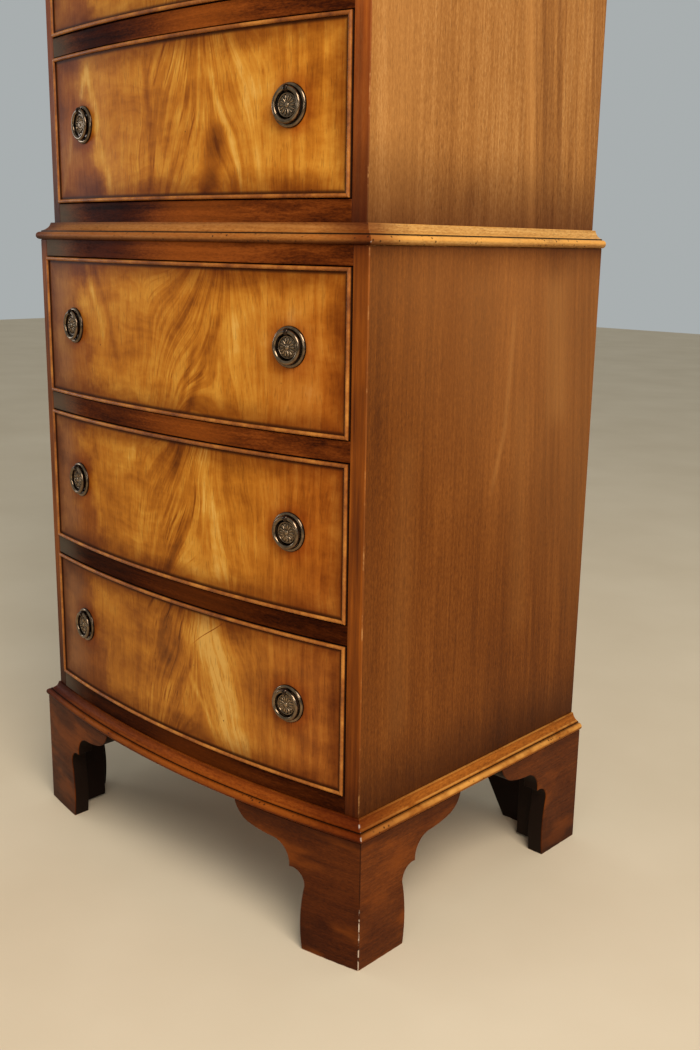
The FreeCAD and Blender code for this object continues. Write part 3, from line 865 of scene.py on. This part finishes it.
def front_patina(place, colour, up, mottle, half, pull):
    x, y, z = parts(place)
    # towards the left: the veneer's own quieter red, with painted shade and a painted bluish sheen
    left = between(x + mottle * 0.10 + up * 0.25, -0.135, -0.172)
    colour = darkened(left * 0.75, colour, (192, 164, 200))
    # a thin painted grey sheen at the left ends of the lower three fronts
    grey_sheen = between(x + mottle * 0.06, -0.17, -0.22) * between(z, 0.80, 0.72)
    colour = blended(grey_sheen * 0.20, colour, (126, 120, 104))
    right = between(x + mottle * 0.10, 0.10, 0.22) * between(z, 0.80, 0.62)
    colour = darkened(right * 0.8, colour, (214, 184, 184))
    colour = blended(between(z, 0.46, 0.30) * 0.16, colour, (128, 92, 58))
    away = ((abs(x) - pull.x) ** 2.0 + (z - pull.z) ** 2.0) ** 0.5
    colour = darkened(between(away + mottle * 0.02, 0.040, 0.018) * 0.55, colour, (196, 128, 96))
    # darker along the beads: dark polish with painted shade in the corner beside each bead, darkest in a narrow line
    rim = smaller(half.x - abs(x), half.z - abs(up))
    colour = darkened(between(rim + mottle * 0.03, 0.036, 0.002) * 0.7, colour, (142, 94, 58))
    return blended(between(rim, 0.0085, 0.0052) * 0.85, colour, (50, 20, 5))


def figured(name, middle_z, half, pull, seed, spine, rise, fall, glow, bands):
    """Figured veneer for a front with its middle height, half sizes and the place of its right pull."""
    material, place = begin(name)
    x, y, z = parts(place)
    up = z - middle_z
    tone, hairs, mottle = figure(place, up, seed, spine, rise, fall, bands)
    colour = front_patina(place, ramp(tone + glow, *VENEER), up, mottle, half, pull)
    pores = between(drawn_out(place, VENEER_PORES, 1.0, shift=(0, 0, seed)), 0.57, 0.70)
    colour = blended(pores * 0.24, colour, (74, 34, 8))
    specks = between(pits(place, 46.0), 0.055, 0.03) * between(noise(place, 11.0), 0.54, 0.60)
    colour = blended(specks * 0.7, colour, (48, 22, 8))
    roughness = 0.36 + noise(place, 18.0, 3.0) * 0.16
    return polish(material, colour, roughness, hairs * 0.3 - pores - specks * 2.0, 0.0001, 0.45, gloss=0.05)


print("veneer recipe ready, tones", len(VENEER))

# %% [markdown]
# One entry for each front: seed, where the spine of its figure is, the lean of the grain on the left and right of
# it, how bright it is, and then its own lights and darks as (where, lean, half width, lowest, highest, lift).
# The last band of the lowest front is so narrow and dark that it is a scratch.

# %% The six fronts
FIGURES = {
    "upper_drawer_1": (2.3, 0.06, 0.45, -0.35, 0.56, (
        (0.075, -0.40, 0.014, -0.10, 0.08, 0.25), (-0.15, 0.50, 0.008, -0.09, 0.07, 0.2))),
    "upper_drawer_2": (9.1, 0.07, 0.60, -0.30, 0.56, (
        (0.085, -0.30, 0.018, -0.11, 0.10, 0.25), (-0.12, -0.45, 0.008, -0.06, 0.10, -0.25))),
    "upper_drawer_3": (5.7, 0.050, 0.38, -0.44, 0.555, (
        (-0.196, 0.56, 0.010, -0.09, 0.085, 0.24), (-0.138, -0.34, 0.011, -0.10, 0.085, 0.26),
        (-0.034, 0.02, 0.010, -0.09, 0.085, -0.26), (0.067, 0.12, 0.024, -0.11, 0.012, -0.50),
        (0.075, -0.43, 0.009, -0.11, 0.075, 0.26), (0.115, -0.32, 0.010, -0.11, 0.10, 0.16))),
    "lower_drawer_1": (3.4, 0.075, 0.80, -0.25, 0.58, (
        (-0.121, -0.40, 0.010, -0.03, 0.12, 0.26), (-0.100, -0.42, 0.010, -0.06, 0.10, -0.16),
        (0.015, 0.86, 0.024, -0.01, 0.11, -0.12), (0.076, 0.44, 0.010, -0.10, 0.055, -0.30),
        (0.058, 0.40, 0.008, -0.09, 0.02, -0.26), (0.103, 0.10, 0.026, -0.10, 0.06, 0.22))),
    "lower_drawer_2": (7.9, 0.055, 0.60, -0.23, 0.51, (
        (0.014, 0.10, 0.020, 0.015, 0.11, -0.28), (0.040, 0.60, 0.013, -0.10, 0.02, -0.26),
        (0.078, -0.23, 0.024, -0.12, 0.12, 0.30), (-0.11, 0.9, 0.022, 0.0, 0.11, 0.24),
        (-0.03, 0.5, 0.026, -0.10, 0.0, 0.14))),
    "lower_drawer_3": (12.6, 0.05, 0.40, -0.38, 0.45, (
        (0.082, -0.36, 0.050, -0.14, 0.13, 0.52), (0.039, -0.55, 0.007, -0.09, 0.02, 0.26),
        (-0.005, 0.2, 0.050, -0.02, 0.12, -0.20), (-0.15, -0.2, 0.03, -0.10, 0.04, 0.10),
        (-0.0063, 1.35, 0.0016, 0.033, 0.077, -3.2))),
}
DRAWERS = tuple(FIGURES)
for drawer in DRAWERS:
    low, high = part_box(drawer + "_front")
    pull = sum(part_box(drawer + "_right_ring"), Vector()) / 2
    veneer = figured(drawer + "_veneer", (low.z + high.z) / 2, (high - low) / 2, pull, *FIGURES[drawer])
    finished(drawer + "_front", veneer)
print("drawer fronts veneered", DRAWERS)

# %% [markdown]
# ## Cock beads
# A small round-nosed strip stands proud round each front and protects the veneer. Its crest keeps a light
# orange, and below the crest it is painted dark: dark wax and painted shade in the corners on both sides of it.

# %% Cock beads
BEAD_CREST, BEAD_FOOT = 0.0019, 0.0004
BEAD_SHADE_AND_WAX = (38, 15, 4)


def bead_finish(name, setback):
    """Cloudy red mahogany that turns dark below the crest of the bead."""
    material, place = begin(name)
    cloud = noise(place, 30.0, 4.0, 0.6)
    tone = noise(place, 300.0, 2.0)
    colour = ramp(cloud * 0.8 + tone * 0.2, (0.32, (100, 48, 10)), (0.5, (150, 84, 25)), (0.68, (190, 122, 47)))
    # painted shade and dark wax on the flanks below the crest
    colour = blended(between(proud_of_bow(place) + setback, BEAD_CREST, BEAD_FOOT), colour, BEAD_SHADE_AND_WAX)
    return polish(material, colour, 0.38 + cloud * 0.2, tone, 0.00005, 0.3, coat=0.1, gloss=0.25)


lower_bead = bead_finish("lower_bead_mahogany", 0.0)
upper_bead = bead_finish("upper_bead_mahogany", SETBACK)
for drawer in DRAWERS:
    finished(drawer + "_cock_bead", lower_bead if drawer.startswith("lower") else upper_bead)
print("cock beads finished", len(DRAWERS))

# %% [markdown]
# ## Ring pulls
# Each pull is a cast brass plate with a swelling rim and a raised rosette, an eye with a bored ball, and a ring
# that hangs from the eye round the rosette. The brass is nearly black with tarnish and bright where hands rub it.
# Each point of a pull carries how much it is rubbed, as an attribute of its mesh, and the finish reads that.

# %% Brass
def bronze(name):
    material, place = begin(name)
    cloud = noise(place, 160.0, 3.0, 0.6)
    tarnish = noise(place, 700.0, 3.0)
    bare = between(attribute(place, "worn") + (cloud - 0.5) * 0.4, 0.35, 1.0)
    colour = ramp(tarnish * 0.4 + cloud * 0.6, (0.35, (38, 29, 23)), (0.65, (66, 50, 39)))
    colour = blended(bare * 0.6, colour, (212, 180, 142))
    return polish(material, colour, 0.15 - bare * 0.03 + tarnish * 0.06, tarnish, 0.00003, 0.15, metal=0.92)


brass = bronze("old_brass")
print("brass ready", brass.name)

# %% [markdown]
# Turned forms are spun from a section, and a section is drawn with a pen, the last vertex of a chain. A line
# draws the vertex out, and an arc spins it about the centre of the circle through three points: where the pen
# is, a middle point and an end point. Then the whole section is spun round the pull's axis. A pull is modelled
# at the origin, facing -Y, so a section is given by radii and heights above the drawer front.

# %% Section pen
FULL = 2 * math.pi
OUT = Vector((0, 1, 0))
MERGE = 1e-6


def line(bm, pen, radius, out):
    """Draws the section on to a radius and a height above the drawer front."""
    made = bmesh.ops.extrude_vert_indiv(bm, verts=[pen])
    made["verts"][0].co = (radius, -out, 0)
    return made["verts"][0]


def arc(bm, pen, middle, end, steps):
    """Spins the section on through a middle point to an end point."""
    here, half_way, there = pen.co.xy, Vector((middle[0], -middle[1])), Vector((end[0], -end[1]))
    one, two = half_way - here, there - half_way
    side = one.cross(two)
    centre = (here + half_way) / 2 + Vector((-one.y, one.x)) * ((there - here).dot(two) / (2 * side))
    sweep = 2 * (math.pi - (here - half_way).angle(there - half_way))
    made = bmesh.ops.spin(bm, geom=[pen], cent=(centre.x, centre.y, 0), axis=(0, 0, 1),
                          angle=math.copysign(sweep, side), steps=steps)
    return next(item for item in made["geom_last"] if isinstance(item, bmesh.types.BMVert))


def turned(bm, axis, steps):
    """Spins a whole section round an axis and closes it."""
    bmesh.ops.spin(bm, geom=bm.edges[:], cent=(0, 0, 0), axis=axis, angle=FULL, steps=steps, use_merge=True)
    bmesh.ops.remove_doubles(bm, verts=bm.verts, dist=MERGE)
    bmesh.ops.recalc_face_normals(bm, faces=bm.faces)


print("section pen ready, doubles merge within", MERGE, "m")

# %% [markdown]
# The plate's section starts on the axis at the back, goes out to the edge, over the swelling rim to the plate's
# floor, up the side of the rosette, over its rounded border and back to the axis.

# %% Plate with its rim and rosette border
PLATE = 0.021
EDGE = 0.0008
FLOOR = 0.0012
RIM_HALF = 0.0026
RIM_TOP = 0.003
ROSETTE = 0.0116
ROSETTE_EDGE = 0.0037
BORDER = 0.0016
BORDER_TOP = 0.0044
CROWN = 0.0043
BUTTON = 0.0028


def plate():
    bm = bmesh.new()
    pen = bm.verts.new((0, 0, 0))
    pen = line(bm, pen, PLATE, 0)
    pen = line(bm, pen, PLATE, EDGE)
    pen = arc(bm, pen, (PLATE - RIM_HALF, RIM_TOP), (PLATE - 2 * RIM_HALF, FLOOR), 12)
    pen = line(bm, pen, ROSETTE, FLOOR)
    pen = line(bm, pen, ROSETTE, ROSETTE_EDGE)
    pen = arc(bm, pen, (ROSETTE - BORDER / 2, BORDER_TOP), (ROSETTE - BORDER, ROSETTE_EDGE), 8)
    pen = line(bm, pen, BUTTON, CROWN)
    line(bm, pen, 0, CROWN)
    turned(bm, OUT, 72)
    return bm


bm = plate()
print("plate faces", len(bm.faces), "height", -min(v.co.y for v in bm.verts))
bm.free()

# %% [markdown]
# The rosette's petals are one stretched ball, widened towards its outer end and copied round the axis, and a
# boss covers the inner ends.

# %% Petals and boss
PETALS = 14
PETAL_PLACE = 0.0063
PETAL_STAND = 0.0039
PETAL_SIZE = Matrix.Diagonal((0.0038, 0.0011, 0.00100, 1))
PETAL_FLARE = 0.55
BOSS_STAND = 0.0041
BOSS_SIZE = Matrix.Diagonal((0.0026, 0.0013, 0.0026, 1))


def petals():
    bm = bmesh.new()
    bmesh.ops.create_uvsphere(bm, u_segments=12, v_segments=8, radius=1.0, matrix=PETAL_SIZE)
    for vert in bm.verts:
        vert.co.z *= 1 + PETAL_FLARE * vert.co.x / PETAL_SIZE[0][0]
    bmesh.ops.translate(bm, vec=(PETAL_PLACE, -PETAL_STAND, 0), verts=bm.verts)
    rest = FULL * (PETALS - 1) / PETALS
    bmesh.ops.spin(bm, geom=bm.verts[:] + bm.edges[:] + bm.faces[:], cent=(0, 0, 0), axis=OUT, angle=rest,
                   steps=PETALS - 1, use_duplicate=True)
    boss = Matrix.Translation((0, -BOSS_STAND, 0)) @ BOSS_SIZE
    bmesh.ops.create_uvsphere(bm, u_segments=20, v_segments=12, radius=1.0, matrix=boss)
    return bm


print("petals round the boss", PETALS)

# %% [markdown]
# The eye is a bored ball: an arc and the bore's straight wall, spun round X. Its bolt goes through the front to
# a nut inside the drawer, and the ring is a circle of wire spun round the pull's axis.

# %% Eye, bolt, nut and ring
RING_RADIUS = 0.0152
RING_WIRE = 0.0022
RING_STAND = 0.0054
EYE_BALL = 0.0038
EYE_BORE = 0.0028
SHANK = 0.0025
SHANK_SHORT = 0.0003
SHANK_END = 0.0015
FRONT = 0.020
NUT = 0.0055
NUT_HEIGHT = 0.004
NUT_ARRIS = 0.0004


def eye():
    bm = bmesh.new()
    reach = math.sqrt(EYE_BALL ** 2 - EYE_BORE ** 2)
    start = bm.verts.new((-reach, EYE_BORE, 0))
    end = arc(bm, start, (0, -EYE_BALL), (reach, -EYE_BORE), 12)
    bm.edges.new((start, end))
    turned(bm, (1, 0, 0), 28)
    bmesh.ops.translate(bm, vec=(0, -RING_STAND, RING_RADIUS), verts=bm.verts)
    return bm


def rod(bm, sides, radius, near, far):
    """A straight bar along the pull's axis, at the eye's height, between two heights above the front."""
    along = Matrix.Translation((0, -(near + far) / 2, RING_RADIUS)) @ Matrix.Rotation(math.pi / 2, 4, "X")
    return bmesh.ops.create_cone(bm, cap_ends=True, segments=sides, radius1=radius, radius2=radius,
                                 depth=far - near, matrix=along)


def bolt():
    bm = bmesh.new()
    rod(bm, 20, SHANK, -FRONT - NUT_HEIGHT - SHANK_END, RING_STAND - EYE_BORE - SHANK_SHORT)
    nut = rod(bm, 6, NUT, -FRONT - NUT_HEIGHT, -FRONT)
    edges = dict.fromkeys(edge for vert in nut["verts"] for edge in vert.link_edges)
    bmesh.ops.bevel(bm, geom=list(edges), offset=NUT_ARRIS, offset_type="OFFSET", segments=2, profile=0.5,
                    affect="EDGES", material=-1)
    return bm


def ring():
    bm = bmesh.new()
    wire = Matrix.Translation((RING_RADIUS, -RING_STAND, 0))
    bmesh.ops.create_circle(bm, segments=18, radius=RING_WIRE, matrix=wire)
    turned(bm, OUT, 96)
    return bm


print("rings are", 2 * (RING_RADIUS + RING_WIRE), "m across")

# %% [markdown]
# The pieces of a pull are joined, marked with how much they are rubbed, and set on the bow. The place comes
# from the frame's own ring: its middle lies on the line out of the bow through the middle of the plate.

# %% Joining, rubbing and placing
CREASE = math.radians(40)


def joined(*sections):
    """One mesh from several, which are used up."""
    whole = bmesh.new()
    for section in sections:
        mesh = bpy.data.meshes.new("section")
        section.to_mesh(mesh)
        section.free()
        whole.from_mesh(mesh)
        bpy.data.meshes.remove(mesh)
    return whole


def rubbed_and_smooth(bm, low, high, most):
    """Marks how much each point is rubbed, and smooths all but the creases."""
    worn = bm.verts.layers.float.new("worn")
    for vert in bm.verts:
        vert[worn] = min(most, max(0.0, (-vert.co.y - low) / (high - low)))
    for face in bm.faces:
        face.smooth = True
    for edge in bm.edges:
        edge.smooth = edge.is_manifold and edge.calc_face_angle() < CREASE
    return bm


def set_on_bow(bm, ring_node):
    """Moves a pull from the origin to where the frame's ring is."""
    low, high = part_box(ring_node)
    middle = (low + high) / 2
    turn = math.atan2(middle.x, BOW_CENTRE_Y - middle.y)
    facing = Matrix.Rotation(turn, 4, "Z")
    foot = middle - facing.to_3x3() @ Vector((0, -RING_STAND, 0))
    bmesh.ops.transform(bm, matrix=Matrix.Translation(foot) @ facing, verts=bm.verts)
    return bm


print("edges sharper than", math.degrees(CREASE), "degrees stay creased")

# %% [markdown]
# What stands out is rubbed bright, so the rubbing grows between two heights above the front, up to a most.
# Plates, eyes and nuts move with the drawer and are one piece. Each ring is a piece of its own.

# %% Pulls and rings on the drawers
PLATE_RUBBED = (0.0006, 0.0029, 0.62)
PETALS_RUBBED = (0.0040, 0.0050, 0.8)
EYE_RUBBED = (RING_STAND, RING_STAND + EYE_BALL, 0.3)
RING_RUBBED = (RING_STAND - RING_WIRE * 0.6, RING_STAND + RING_WIRE, 0.62)

for drawer in DRAWERS:
    pair = []
    for hand in ("left", "right"):
        node = f"{drawer}_{hand}_ring"
        cast = joined(rubbed_and_smooth(plate(), *PLATE_RUBBED), rubbed_and_smooth(petals(), *PETALS_RUBBED))
        hung = rubbed_and_smooth(joined(eye(), bolt()), *EYE_RUBBED)
        pair.append(set_on_bow(joined(cast, hung), node))
        loop = rubbed_and_smooth(ring(), *RING_RUBBED)
        piece_from(set_on_bow(loop, node), node + "_finished", node, brass)
    pulls = piece_from(joined(*pair), drawer + "_pulls", drawer + "_pull_plates", brass)
print("pulls set", len(DRAWERS) * 2, "faces each pair", len(pulls.data.polygons))
